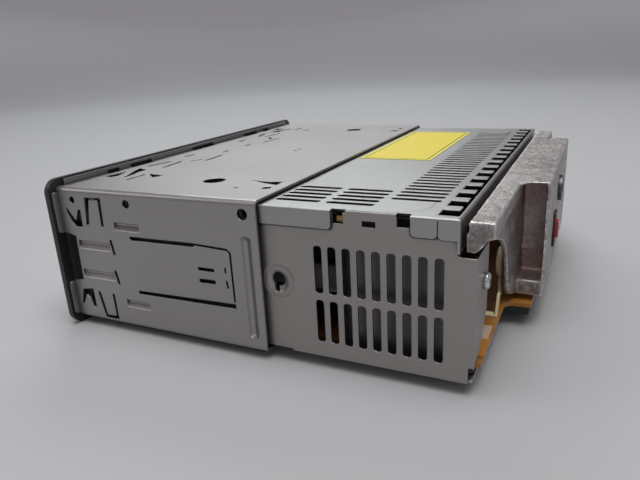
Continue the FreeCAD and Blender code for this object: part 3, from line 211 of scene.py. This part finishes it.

# %% [markdown]
# ## Sheet steel
# The sleeve, the case and the cover are zinc-coated sheet. Real sheet is never one grey: rolling leaves
# faint lengthwise streaks, the zinc clouds a little, handling scratches it, and the cut or bent edges are
# rubbed bright, lightened partly as a painted highlight. Seams, gaps and corners are darkened as painted
# shade. One function makes the family. Behind every opening there is only black shade, so each piece also
# gets a rule for which of its faces are inside, and those faces are painted near black and less metallic.


# %% Sheet steel
def sheet_steel(name, tint, grain=(1, 1, 1), rough=0.40, edge=0.0004, shaded_faces=None, seam_shade=0.75, shade=0.10,
                pressed=None, line_and_gap_shadow=None):
    look = Look(name)
    streak = look.cloud(0.003, grain, 4.0, 0.7)
    cloud = look.cloud(0.06, (1, 1, 1), 3.0)
    fleck = look.cloud(0.0006, (1, 1, 1), 2.0)
    smudge = look.cloud(0.03, (1, 1, 1), 4.0, 0.6)
    worn = look.edges(edge)
    dull = tuple(c * 0.93 for c in tint)
    colour = look.mix((cloud * 0.5 + streak * 0.5).step(0.3, 0.7), dull, tint)
    # Edges lighter: partly rubbed bright, partly a painted highlight on the rims.
    colour = look.mix(worn * 0.6, colour, tuple(min(1.0, c * 1.35) for c in tint))
    # Painted shade: seams, gaps and corners are darkened by the crevice node.
    colour = look.mix(look.crevice(0.002).step(0.88, 0.45) * seam_shade, colour, (0.02, 0.017, 0.015))
    # Dark lines: the cover's corner line, and the painted shadow of the gap below the cover's skirts.
    if line_and_gap_shadow is not None:
        colour = look.mix(line_and_gap_shadow(*look.axes()) * 0.5, colour, (0.04, 0.035, 0.032))
    metal = 0.9
    # Painted shade: faces inside the piece go near black and lose most of their metal look.
    if shaded_faces is not None:
        inside = shaded_faces(*look.axes())
        colour = look.mix(inside, colour, (shade, shade * 0.92, shade * 0.88))
        metal = 0.9 - inside * 0.6
    gloss = rough + (smudge - 0.5) * 0.08 + (streak - 0.5) * 0.08 - worn * 0.1
    under = look.rounded(edge)
    if pressed is not None:
        under = look.bump(pressed(*look.axes()), 0.0009, under)
    return look.surface(Base_Color=colour, Metallic=metal, Roughness=gloss,
                        Normal=look.bump(streak * 0.6 + fleck * 0.4, 0.000012, under))


# Which faces of each piece lie inside it, in shade; sheet_steel paints them near black as painted shade.
def behind_frame(x, y, z):
    return (x.abs() - (y > 101.0) * 0.55 < 87.65) * (z.abs() < 24.25) * (y < 155.9) * (y > 13.0)


def behind_cover(x, y, z):
    return (z < 24.9) * (x.abs() < 87.4) * (y < 150.9) + (z < 24.22) * (x.abs() < 88.38) * (y < 150.55)


def behind_sleeve(x, y, z):
    walls = x.abs().within(90.12, 90.46) * (y > 44.0) + z.abs().within(25.62, 26.2)
    return walls.math("MINIMUM", 1.0) * (y > 1.0) * (y < 87.0) * (x.abs() + z.abs() < 116.0)


def far_from_line(y, z, across, low, high):
    """The distance from an upright line between two heights."""
    beyond = ((z - (low + high) / 2).abs() - (high - low) / 2).math("MAXIMUM", 0.0)
    return ((y - across) * (y - across) + beyond * beyond).math("SQRT")


def pressed_sleeve(x, y, z):
    """The short grooves near the front, each running out downwards, and the long bead at the end."""
    height = far_from_line(y, z, 83.3, -19.6, 12.6).step(2.5, 0.2) * -1.4
    for start, end, low, high in ((7.4, 23.2, 2.9, 6.3), (7.0, 23.0, -8.9, -5.5), (27.1, 38.8, 11.7, 14.9),
                                  (27.2, 38.4, -18.6, -15.4)):
        inside = y.within(start, end) * z.within(low, high)
        height = height - inside * ((z - low) * (3.2 / (high - low))).math("MINIMUM", 2.0)
    return height


def cover_line(x, y, z):
    """A thin line round the cover's rear corner."""
    along, over = (x.abs() - 77.0).math("MAXIMUM", 0.0), (y - 131.5).math("MAXIMUM", 0.0)
    return (along * along + over * over).math("SQRT").within(8.9, 9.35) * (x.abs() > 71.0) * (y > 128.0)


def pressed_frame(x, y, z):
    """The dish round the keyhole."""
    return far_from_line(y, z, 93.2, -0.4, -0.2).step(6.2, 1.2) * -2.4


def skirt_gap_shadow(x, y, z):
    """Painted shadow of the gap that runs round the cover's skirts, on the wall below them."""
    line = 0.0
    for start, end in ((13.4, 112.8), (137.4, 144.9), (145.2, 151.3)):
        beside = ((y - (start + end) / 2).abs() - (end - start) / 2 + 0.9).math("MAXIMUM", 0.0)
        below = ((z - 22.0).abs() - 2.1).math("MAXIMUM", 0.0)
        line = (beside * beside + below * below).math("SQRT").step(1.75, 1.25) + line
    return line.math("MINIMUM", 1.0) * (x.abs() > 88.3) * 1.6


WARM, COOL = (0.338, 0.318, 0.305), (0.50, 0.505, 0.51)
sleeve_steel = sheet_steel("sleeve_steel", (0.345, 0.330, 0.321), (5, 0.25, 5), 0.38, shaded_faces=behind_sleeve,
                          shade=0.012, pressed=pressed_sleeve)
case_steel = sheet_steel("case_steel", WARM, (5, 0.25, 5), 0.40, shaded_faces=behind_frame, shade=0.02,
                        pressed=pressed_frame, line_and_gap_shadow=skirt_gap_shadow)
cover_steel = sheet_steel("cover_steel", (0.375, 0.368, 0.361), (0.25, 5, 5), 0.38, shaded_faces=behind_cover, shade=0.02,
                         line_and_gap_shadow=cover_line)
base_steel = sheet_steel("base_steel", COOL, (5, 0.25, 5), 0.42)
# Darker copies of the steel for parts inside the case: painted shade standing for the dark interior.
inner_shade_steel = sheet_steel("inner_shade_steel", (0.17, 0.16, 0.165), (1, 1, 1), 0.45)
dark_shade_steel = sheet_steel("dark_shade_steel", (0.05, 0.048, 0.046), (1, 1, 1), 0.55)
bright_steel = sheet_steel("bright_steel", (0.62, 0.64, 0.66), (1, 1, 1), 0.24, 0.0002, seam_shade=0.4)
socket_steel = sheet_steel("socket_steel", (0.16, 0.16, 0.16), (1, 1, 1), 0.4, 0.0003)
print("steels ready")

# %% [markdown]
# ## Moulded plastic and rubber
# Moulded parts show a fine eroded grain, a slight cloudiness and paler rubbed edges, and their corners and
# gaps are darkened as painted shade. Rubber is the same with a flatter gloss. Again one function, with the
# grain's depth as a number.


# %% Moulded plastic
def moulded(name, colour, rough=0.5, grain=0.00002, size=0.0004, wear=0.25, edge=0.0003, coat=0.0, pattern=None):
    look = Look(name)
    fine = look.cloud(size, (1, 1, 1), 2.0)
    broad = look.cloud(0.02, (1, 1, 1), 3.0)
    worn = look.edges(edge)
    pale = tuple(c + 0.10 for c in colour)
    shade = look.mix(broad.step(0.3, 0.7), tuple(c * 0.82 for c in colour), colour)
    if pattern is not None:
        shade = pattern(look, shade)
    shade = look.mix(worn * wear, shade, pale)
    # Painted shade: corners and gaps are darkened by the crevice node.
    shade = look.mix(look.crevice().step(0.7, 0.25) * 0.6, shade, (0.01, 0.009, 0.008))
    return look.surface(Base_Color=shade, Roughness=rough + (broad - 0.5) * 0.14 + (fine - 0.5) * 0.1,
                        Coat_Weight=coat, Normal=look.bump(fine, grain, look.rounded(edge)))


def label_print(look, shade):
    """A thin dark frame just inside the label's edge, and nothing else."""
    x, y, z = look.axes()
    far = (x + 31.2).abs() - 39.8
    deep = (y - 105.8).abs() - 15.4
    rim = far.math("MAXIMUM", deep)
    inner = look.mix(look.cloud(0.0012, (1, 1, 1), 3.0).step(0.35, 0.65), (0.54, 0.405, 0.0), (0.59, 0.49, 0.001))
    shade = look.mix(rim < -1.5, (0.64, 0.58, 0.006), inner)
    return look.mix(rim.within(-2.0, -1.2), shade, (0.09, 0.08, 0.02))


def board_print(look, shade):
    """Blank blocks of pale print, darker copper under the varnish, and painted shade towards the board's back."""
    x, y, z = look.axes()
    copper = look.cloud(0.006, (1, 1, 1), 0.0).step(0.50, 0.53)
    shade = look.mix(copper * 0.35, shade, (0.24, 0.085, 0.02))
    block = x.within(59.0, 68.6) * y.within(153.2, 156.4)
    shade = look.mix(block * 0.8, shade, (0.52, 0.42, 0.34))
    shade = look.mix(x.within(80.4, 81.2) * (y > 150.0) * 0.85, shade, (0.05, 0.02, 0.01))
    # Painted shade: the board goes near black towards its back and far side, where the case shades it.
    deep = (y.step(157.5, 154.0) * x.step(60.0, 46.0)).math("MAXIMUM", y.step(153.0, 149.0))
    return look.mix(deep * 0.88, shade, (0.035, 0.014, 0.008))


def display_cells(look, shade):
    """The faint unlit bars of a liquid-crystal display."""
    x, y, z = look.axes()
    across = (x * 0.125).math("FRACT").within(0.12, 0.88)
    bars = (x * 0.125).math("FRACT").within(0.12, 0.24) + (x * 0.125).math("FRACT").within(0.76, 0.88)
    tall = z.within(-5.6, 1.6)
    rows = z.within(-5.6, -5.0) + z.within(-2.3, -1.7) + z.within(1.0, 1.6)
    cells = (bars * tall + rows * across).math("MINIMUM", 1.0) * (x.abs() < 40.0)
    return look.mix(cells * 0.6, shade, (0.055, 0.065, 0.06))


black_plastic = moulded("black_plastic", (0.022, 0.023, 0.022), 0.46)
nose_plastic = moulded("nose_plastic", (0.008, 0.007, 0.008), 0.5)
ring_plastic = moulded("ring_plastic", (0.014, 0.018, 0.017), 0.42, 0.00003, 0.0005, 0.12)
key_plastic = moulded("key_plastic", (0.030, 0.031, 0.033), 0.5)
black_rubber = moulded("black_rubber", (0.025, 0.025, 0.025), 0.78, 0.00004, 0.0006, 0.1)
grey_rubber = moulded("grey_rubber", (0.10, 0.10, 0.10), 0.75, 0.00004, 0.0006, 0.1)
white_gear = moulded("white_gear", (0.70, 0.69, 0.64), 0.4, 0.00001)
cream_resin = moulded("cream_resin", (0.80, 0.67, 0.40), 0.3, 0.00002, 0.0012)
chip_resin = moulded("chip_resin", (0.030, 0.030, 0.032), 0.55, 0.00002, 0.0003)
fuse_red = moulded("fuse_red", (0.50, 0.015, 0.03), 0.25, 0.00001, 0.0004, 0.3, 0.0002, 0.4)
brown_board = moulded("brown_board", (0.46, 0.185, 0.03), 0.38, 0.00002, 0.0005, pattern=board_print)
green_board = moulded("green_board", (0.03, 0.12, 0.06), 0.4, 0.00002, 0.0005)
yellow_label = moulded("yellow_label", (0.70, 0.61, 0.01), 0.5, 0.000006, 0.001, 0.0, pattern=label_print)
smoked_window = moulded("smoked_window", (0.012, 0.014, 0.016), 0.08, 0.000002, 0.002, 0.0, 0.0003, 0.6,
                        display_cells)
white_ink = moulded("white_ink", (0.72, 0.73, 0.72), 0.5, 0.000005, 0.0004, 0.0)
brass = sheet_steel("brass", (0.52, 0.36, 0.12), (1, 1, 1), 0.3, 0.0002)
print("plastics ready")

# %% [markdown]
# ## Cast aluminium
# The heat sink is a raw casting: a dull, mottled, slightly warm grey skin with pits and small lumps. Its
# hollows get a brown painted shade tone, and its corners are brighter, partly where a tool or a neighbour
# rubbed them and partly as a painted highlight.


# %% Cast aluminium
def cast_metal(name):
    look = Look(name)
    broad = look.cloud(0.010, (1, 1, 1), 5.0, 0.6)
    skin = look.cloud(0.0020, (1, 1, 1), 5.0, 0.75)
    pits = look.cloud(0.0007, (1, 1, 1), 3.0)
    worn = look.ridges()
    # Painted shade: hollows take a brown tone set by how enclosed each point is.
    hollow_shade = look.crevice(0.010).step(0.80, 0.35)
    colour = look.mix((broad * 0.4 + skin * 0.6).step(0.38, 0.62), (0.215, 0.185, 0.175), (0.47, 0.435, 0.425))
    colour = look.mix((pits * 0.5 + skin * 0.5).step(0.40, 0.30) * 0.5, colour, (0.08, 0.06, 0.055))
    colour = look.mix(hollow_shade * 0.55, colour, (0.42, 0.28, 0.24))
    # Corners brighter: partly rubbed, partly a painted highlight.
    colour = look.mix(worn * 0.75, colour, (0.88, 0.86, 0.84))
    height = broad * 0.2 + skin * 0.5 + pits * 0.3
    return look.surface(Base_Color=colour, Metallic=0.85, Roughness=0.40 + (skin - 0.5) * 0.4 - worn * 0.1,
                        Normal=look.bump(height, 0.0009))


cast_aluminium = cast_metal("cast_aluminium")
print("casting ready")

# %% [markdown]
# ## Which node gets which finish
# The nodes whose shape is right keep it and only get their finish.

# %% Finishes on the nodes
FINISH = {
    sleeve_steel: ["mounting_sleeve"], case_steel: ["case_frame"], cover_steel: ["top_cover"],
    base_steel: ["bottom_cover"], inner_shade_steel: ["mech_brackets", "tuner_can"],
    dark_shade_steel: ["mech_deck", "clamp_arm", "loading_motor", "sled_motor", "spindle_motor"],
    bright_steel: ["rear_screws", "bottom_screws", "guide_rods", "roller_shaft"],
    socket_steel: ["antenna_socket"], ring_plastic: ["trim_ring"], nose_plastic: ["front_nose", "capacitors"],
    yellow_label: ["rating_label"], cast_aluminium: ["heat_sink"], fuse_red: ["blade_fuse"],
    black_plastic: ["power_connector", "fuse_holder", "contact_block", "face_shell", "face_back", "optical_sled",
                    "clamper", "disc_guide"],
    brown_board: ["main_board"], green_board: ["face_board"], chip_resin: ["board_chips", "amplifier_chip"],
    cream_resin: ["noise_capacitor", "ground_clip"], black_rubber: ["slot_flap", "turntable", "feed_roller"],
    smoked_window: ["display_window", "lens_holder"], grey_rubber: ["grommets"],
    white_gear: ["sled_screw", "roller_gear", "loading_gear", "motor_pinion"],
}
finish_of = {node: finish for finish, nodes in FINISH.items() for node in nodes}
for name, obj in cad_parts.items():
    finish = finish_of.get(name, key_plastic)
    if not obj.data.materials:
        obj.data.materials.append(finish)
    for i in range(len(obj.material_slots)):
        obj.material_slots[i].link = "OBJECT"
        obj.material_slots[i].material = finish
print("finished nodes:", len(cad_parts))

# %% [markdown]
# ## The cast heat sink
# A casting has no sharp corners: its outside edges are round, its inside corners run together in
# fillets, and its skin is uneven. A fine voxel remesh of the solid, a few rounds of smoothing and a
# small push along the normal by noise give all three.


# %% Cast heat sink
def cast_piece(name, node, material, voxel=0.0005, rounds=3, depth=0.00012):
    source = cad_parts[node]
    obj = bpy.data.objects.new(name, source.data.copy())
    bpy.context.scene.collection.objects.link(obj)
    obj.matrix_world = source.matrix_world
    remesh = obj.modifiers.new("voxels", "REMESH")
    remesh.mode, remesh.voxel_size = "VOXEL", voxel
    baked = bpy.data.meshes.new_from_object(obj.evaluated_get(bpy.context.evaluated_depsgraph_get()))
    obj.modifiers.clear()
    obj.data = baked
    mesh = bmesh.new()
    mesh.from_mesh(baked)
    for _ in range(rounds):
        bmesh.ops.smooth_vert(mesh, verts=mesh.verts, factor=0.5, use_axis_x=True, use_axis_y=True, use_axis_z=True)
    for vert in mesh.verts:
        rough = noise.fractal(vert.co / 0.004, 0.7, 2.2, 4) + 0.7 * noise.noise(vert.co / 0.0012)
        vert.co += vert.normal * (rough * depth - depth)
    for face in mesh.faces:
        face.smooth = True
    mesh.to_mesh(baked)
    mesh.free()
    baked.materials.clear()
    baked.materials.append(material)
    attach(obj, "case")
    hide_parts(node)
    return obj


sink = cast_piece("cast_heat_sink", "heat_sink", cast_aluminium)
print("heat sink faces:", len(sink.data.polygons))

# %% [markdown]
# ## The spring tongue in the skirt's notch
# Through the first notch of the cover's skirt a small brass tongue shows, which stands on the shield.
# It is a strip with a bend, drawn as a profile and swept along the unit.

# %% Spring tongue
def swept_strip(name, profile, start, end, thick, material):
    """A strip that follows a line of (x, z) points in millimetres and runs from start to end in y."""
    mesh = bmesh.new()
    rings = []
    for i, (x, z) in enumerate(profile):
        before, after = profile[max(i - 1, 0)], profile[min(i + 1, len(profile) - 1)]
        way = Vector((after[0] - before[0], after[1] - before[1])).normalized() * (thick / 2)
        off = Vector((-way.y, way.x))
        rings.append([mesh.verts.new(((x + k * off.x) * MM, y * MM, (z + k * off.y) * MM))
                      for k, y in ((1, start), (1, end), (-1, end), (-1, start))])
    for low, high in zip(rings, rings[1:]):
        for i in range(4):
            mesh.faces.new((low[i], high[i], high[(i + 1) % 4], low[(i + 1) % 4]))
    mesh.faces.new(rings[0])
    mesh.faces.new(rings[-1])
    bmesh.ops.recalc_face_normals(mesh, faces=mesh.faces)
    bmesh.ops.bevel(mesh, geom=mesh.edges[:], offset=0.08 * MM, segments=2, affect="EDGES", clamp_overlap=True)
    data = bpy.data.meshes.new(name)
    mesh.to_mesh(data)
    mesh.free()
    obj = bpy.data.objects.new(name, data)
    bpy.context.scene.collection.objects.link(obj)
    data.materials.append(material)
    return obj


TONGUE = [(84.6, 15.2), (85.6, 15.4), (86.2, 16.6), (86.5, 19.0), (86.7, 21.2), (86.4, 22.6), (85.4, 23.2)]
for name, flip in (("spring_tongue_near", 1), ("spring_tongue_far", -1)):
    tongue = swept_strip(name, [(x * flip, z) for x, z in TONGUE], 113.8, 116.3, 0.3, brass)
    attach(tongue, "case")
print("spring tongues: 2")

# %% [markdown]
# ## Marks on the keys
# The photograph doesn't show the front. Plain numbers and arrows, drawn as thin raised strokes, say what
# the keys do and nothing more.

# %% Key marks
INK_Y = -12.8
NUMBERS = {
    1: [[(-0.5, 1.0), (0.2, 1.5), (0.2, -1.5)]],
    2: [[(-0.8, 1.0), (-0.4, 1.5), (0.5, 1.5), (0.8, 1.0), (0.8, 0.4), (-0.8, -1.5), (0.9, -1.5)]],
    3: [[(-0.8, 1.4), (0.7, 1.4), (0.0, 0.2), (0.7, 0.0), (0.8, -0.9), (0.3, -1.5), (-0.8, -1.3)]],
    4: [[(0.4, -1.5), (0.4, 1.5), (-0.9, -0.6), (0.9, -0.6)]],
    5: [[(0.8, 1.5), (-0.7, 1.5), (-0.8, 0.3), (0.4, 0.3), (0.8, -0.3), (0.7, -1.1), (0.2, -1.5), (-0.8, -1.3)]],
    6: [[(0.6, 1.5), (-0.4, 1.0), (-0.8, -0.2), (-0.7, -1.1), (0.0, -1.5), (0.7, -1.1), (0.7, -0.3), (0.0, 0.2),
         (-0.7, -0.3)]],
}
ARROW = [[(-0.9, 1.1), (0.3, 0.0), (-0.9, -1.1)], [(0.3, 1.1), (1.5, 0.0), (0.3, -1.1)]]
MARKS = {f"preset_key_{n}": ((n - 3.5) * 15.2, -18.2, strokes) for n, strokes in NUMBERS.items()}
MARKS["eject_key"] = (70.8, 12.0, [[(-1.3, -0.2), (0.0, 1.3), (1.3, -0.2), (-1.3, -0.2)], [(-1.3, -1.1), (1.3, -1.1)]])
MARKS["source_key"] = (58.5, 2.6, [[(math.cos(a) * 1.2, math.sin(a) * 1.2) for a in
                                    (k * math.pi / 8 for k in range(17))]])
MARKS["band_key"] = (70.8, 2.6, [[(-1.6 + 0.2 * k, 0.8 * math.sin(k * 0.785)) for k in range(17)]])
MARKS["seek_back_key"] = (58.5, -6.8, [[(-x, z) for x, z in line] for line in ARROW])
MARKS["seek_next_key"] = (70.8, -6.8, ARROW)
MARKS["release_button"] = (66.0, -18.2, [[(-2.6, -0.7), (-1.6, 0.7), (1.6, 0.7), (2.6, -0.7)]])


def ink_mark(name, x, z, lines, width=0.34, thick=0.04):
    """Thin raised strokes on the key's front: a box along each piece of line."""
    mesh = bmesh.new()
    for line in lines:
        for (ax, az), (bx, bz) in zip(line, line[1:]):
            way = Vector((bx - ax, bz - az)).normalized() * (width / 2)
            side = Vector((-way.y, way.x))
            corners = [Vector((ax, az)) - way + side, Vector((bx, bz)) + way + side,
                       Vector((bx, bz)) + way - side, Vector((ax, az)) - way - side]
            rings = [[mesh.verts.new(((x + c.x) * MM, y * MM, (z + c.y) * MM)) for c in corners]
                     for y in (INK_Y - thick, INK_Y + 0.02)]
            mesh.faces.new(rings[0])
            for i in range(4):
                mesh.faces.new((rings[0][i], rings[1][i], rings[1][(i + 1) % 4], rings[0][(i + 1) % 4]))
    bmesh.ops.recalc_face_normals(mesh, faces=mesh.faces)
    data = bpy.data.meshes.new(name)
    mesh.to_mesh(data)
    mesh.free()
    obj = bpy.data.objects.new(name, data)
    bpy.context.scene.collection.objects.link(obj)
    data.materials.append(white_ink)
    return obj


for key, (x, z, lines) in MARKS.items():
    mark = ink_mark(f"{key}_mark", x, z, lines)
    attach(mark, key)
print("key marks:", len(MARKS))

# %% [markdown]
# ## Floor and light
# The photograph has a plain grey table that runs up into a plain grey background with no line between
# them. A wide shallow bowl does that from every side: flat in the middle and rising at the rim.

# %% Studio floor
FLOOR_Z = cad_box[0][2]


def studio_bowl(flat=1.5, reach=2.8, height=1.4, around=96, steps=14):
    mesh = bmesh.new()
    rings = [[mesh.verts.new((0, 0, 0))]]
    profile = [(0.4, 0.0), (0.9, 0.0), (flat, 0.0)]
    for k in range(1, steps + 1):
        t = k / steps * math.pi / 2
        profile.append((flat + (reach - flat) * math.sin(t), height * (1 - math.cos(t))))
    for r, z in profile:
        rings.append([mesh.verts.new((r * math.cos(a), r * math.sin(a), z))
                      for a in (2 * math.pi * i / around for i in range(around))])
    for i in range(around):
        mesh.faces.new((rings[0][0], rings[1][i], rings[1][(i + 1) % around]))
    for low, high in zip(rings[1:], rings[2:]):
        for i in range(around):
            j = (i + 1) % around
            mesh.faces.new((low[i], high[i], high[j], low[j]))
    data = bpy.data.meshes.new("studio_floor")
    for face in mesh.faces:
        face.smooth = True
    mesh.to_mesh(data)
    mesh.free()
    floor = bpy.data.objects.new("studio_floor", data)
    floor.location = (0, 0.08, FLOOR_Z)
    bpy.context.scene.collection.objects.link(floor)
    return floor


floor = studio_bowl()
paint = Look("table_paint")
mottle = paint.cloud(0.5, (1, 1, 1), 2.0)
# Painted light: the bowl is painted lighter as it rises, where less lamp light reaches its upper wall.
floor.data.materials.append(paint.surface(
    Base_Color=paint.mix(paint.axes()[2].step(10.0, 260.0), paint.mix(mottle, (0.378, 0.375, 0.383),
                                                                      (0.397, 0.392, 0.400)), (0.60, 0.58, 0.605)),
    Roughness=0.5 + mottle * 0.05, Specular_IOR_Level=0.2))
print("floor at z", round(FLOOR_Z, 4))


# %% Lamps and world
def soft_lamp(name, at, aim, width, depth, power, colour=(1, 1, 1)):
    lamp = bpy.data.lights.new(name, "AREA")
    lamp.shape, lamp.size, lamp.size_y = "RECTANGLE", width, depth
    lamp.energy, lamp.color = power, colour
    obj = bpy.data.objects.new(name, lamp)
    way = Vector(aim) - Vector(at)
    obj.matrix_world = Matrix.Translation(at) @ way.to_track_quat("-Z", "Y").to_matrix().to_4x4()
    bpy.context.scene.collection.objects.link(obj)
    return obj


soft_lamp("overhead", (0.25, 0.25, 1.5), (0.05, 0.1, 0), 1.2, 1.2, 24, (0.97, 0.99, 1.0))
soft_lamp("sheen", (-1.25, -0.65, 1.15), (0, 0.08, 0), 1.1, 0.7, 11.5, (0.93, 0.985, 1.0))
soft_lamp("fill", (1.3, 0.9, 0.8), (0, 0.08, 0), 0.8, 0.8, 1.5, (1.0, 0.97, 0.95))
soft_lamp("side_light", (0.72, -1.1, 0.95), (0.09, 0.03, 0), 0.6, 0.6, 2.4, (1.0, 0.985, 0.97))
world = bpy.data.worlds.new("room")
world.use_nodes = True
world.node_tree.nodes["Background"].inputs["Color"].default_value = (0.82, 0.81, 0.83, 1)
world.node_tree.nodes["Background"].inputs["Strength"].default_value = 0.26
bpy.context.scene.world = world
bpy.context.scene.view_settings.view_transform = "Standard"
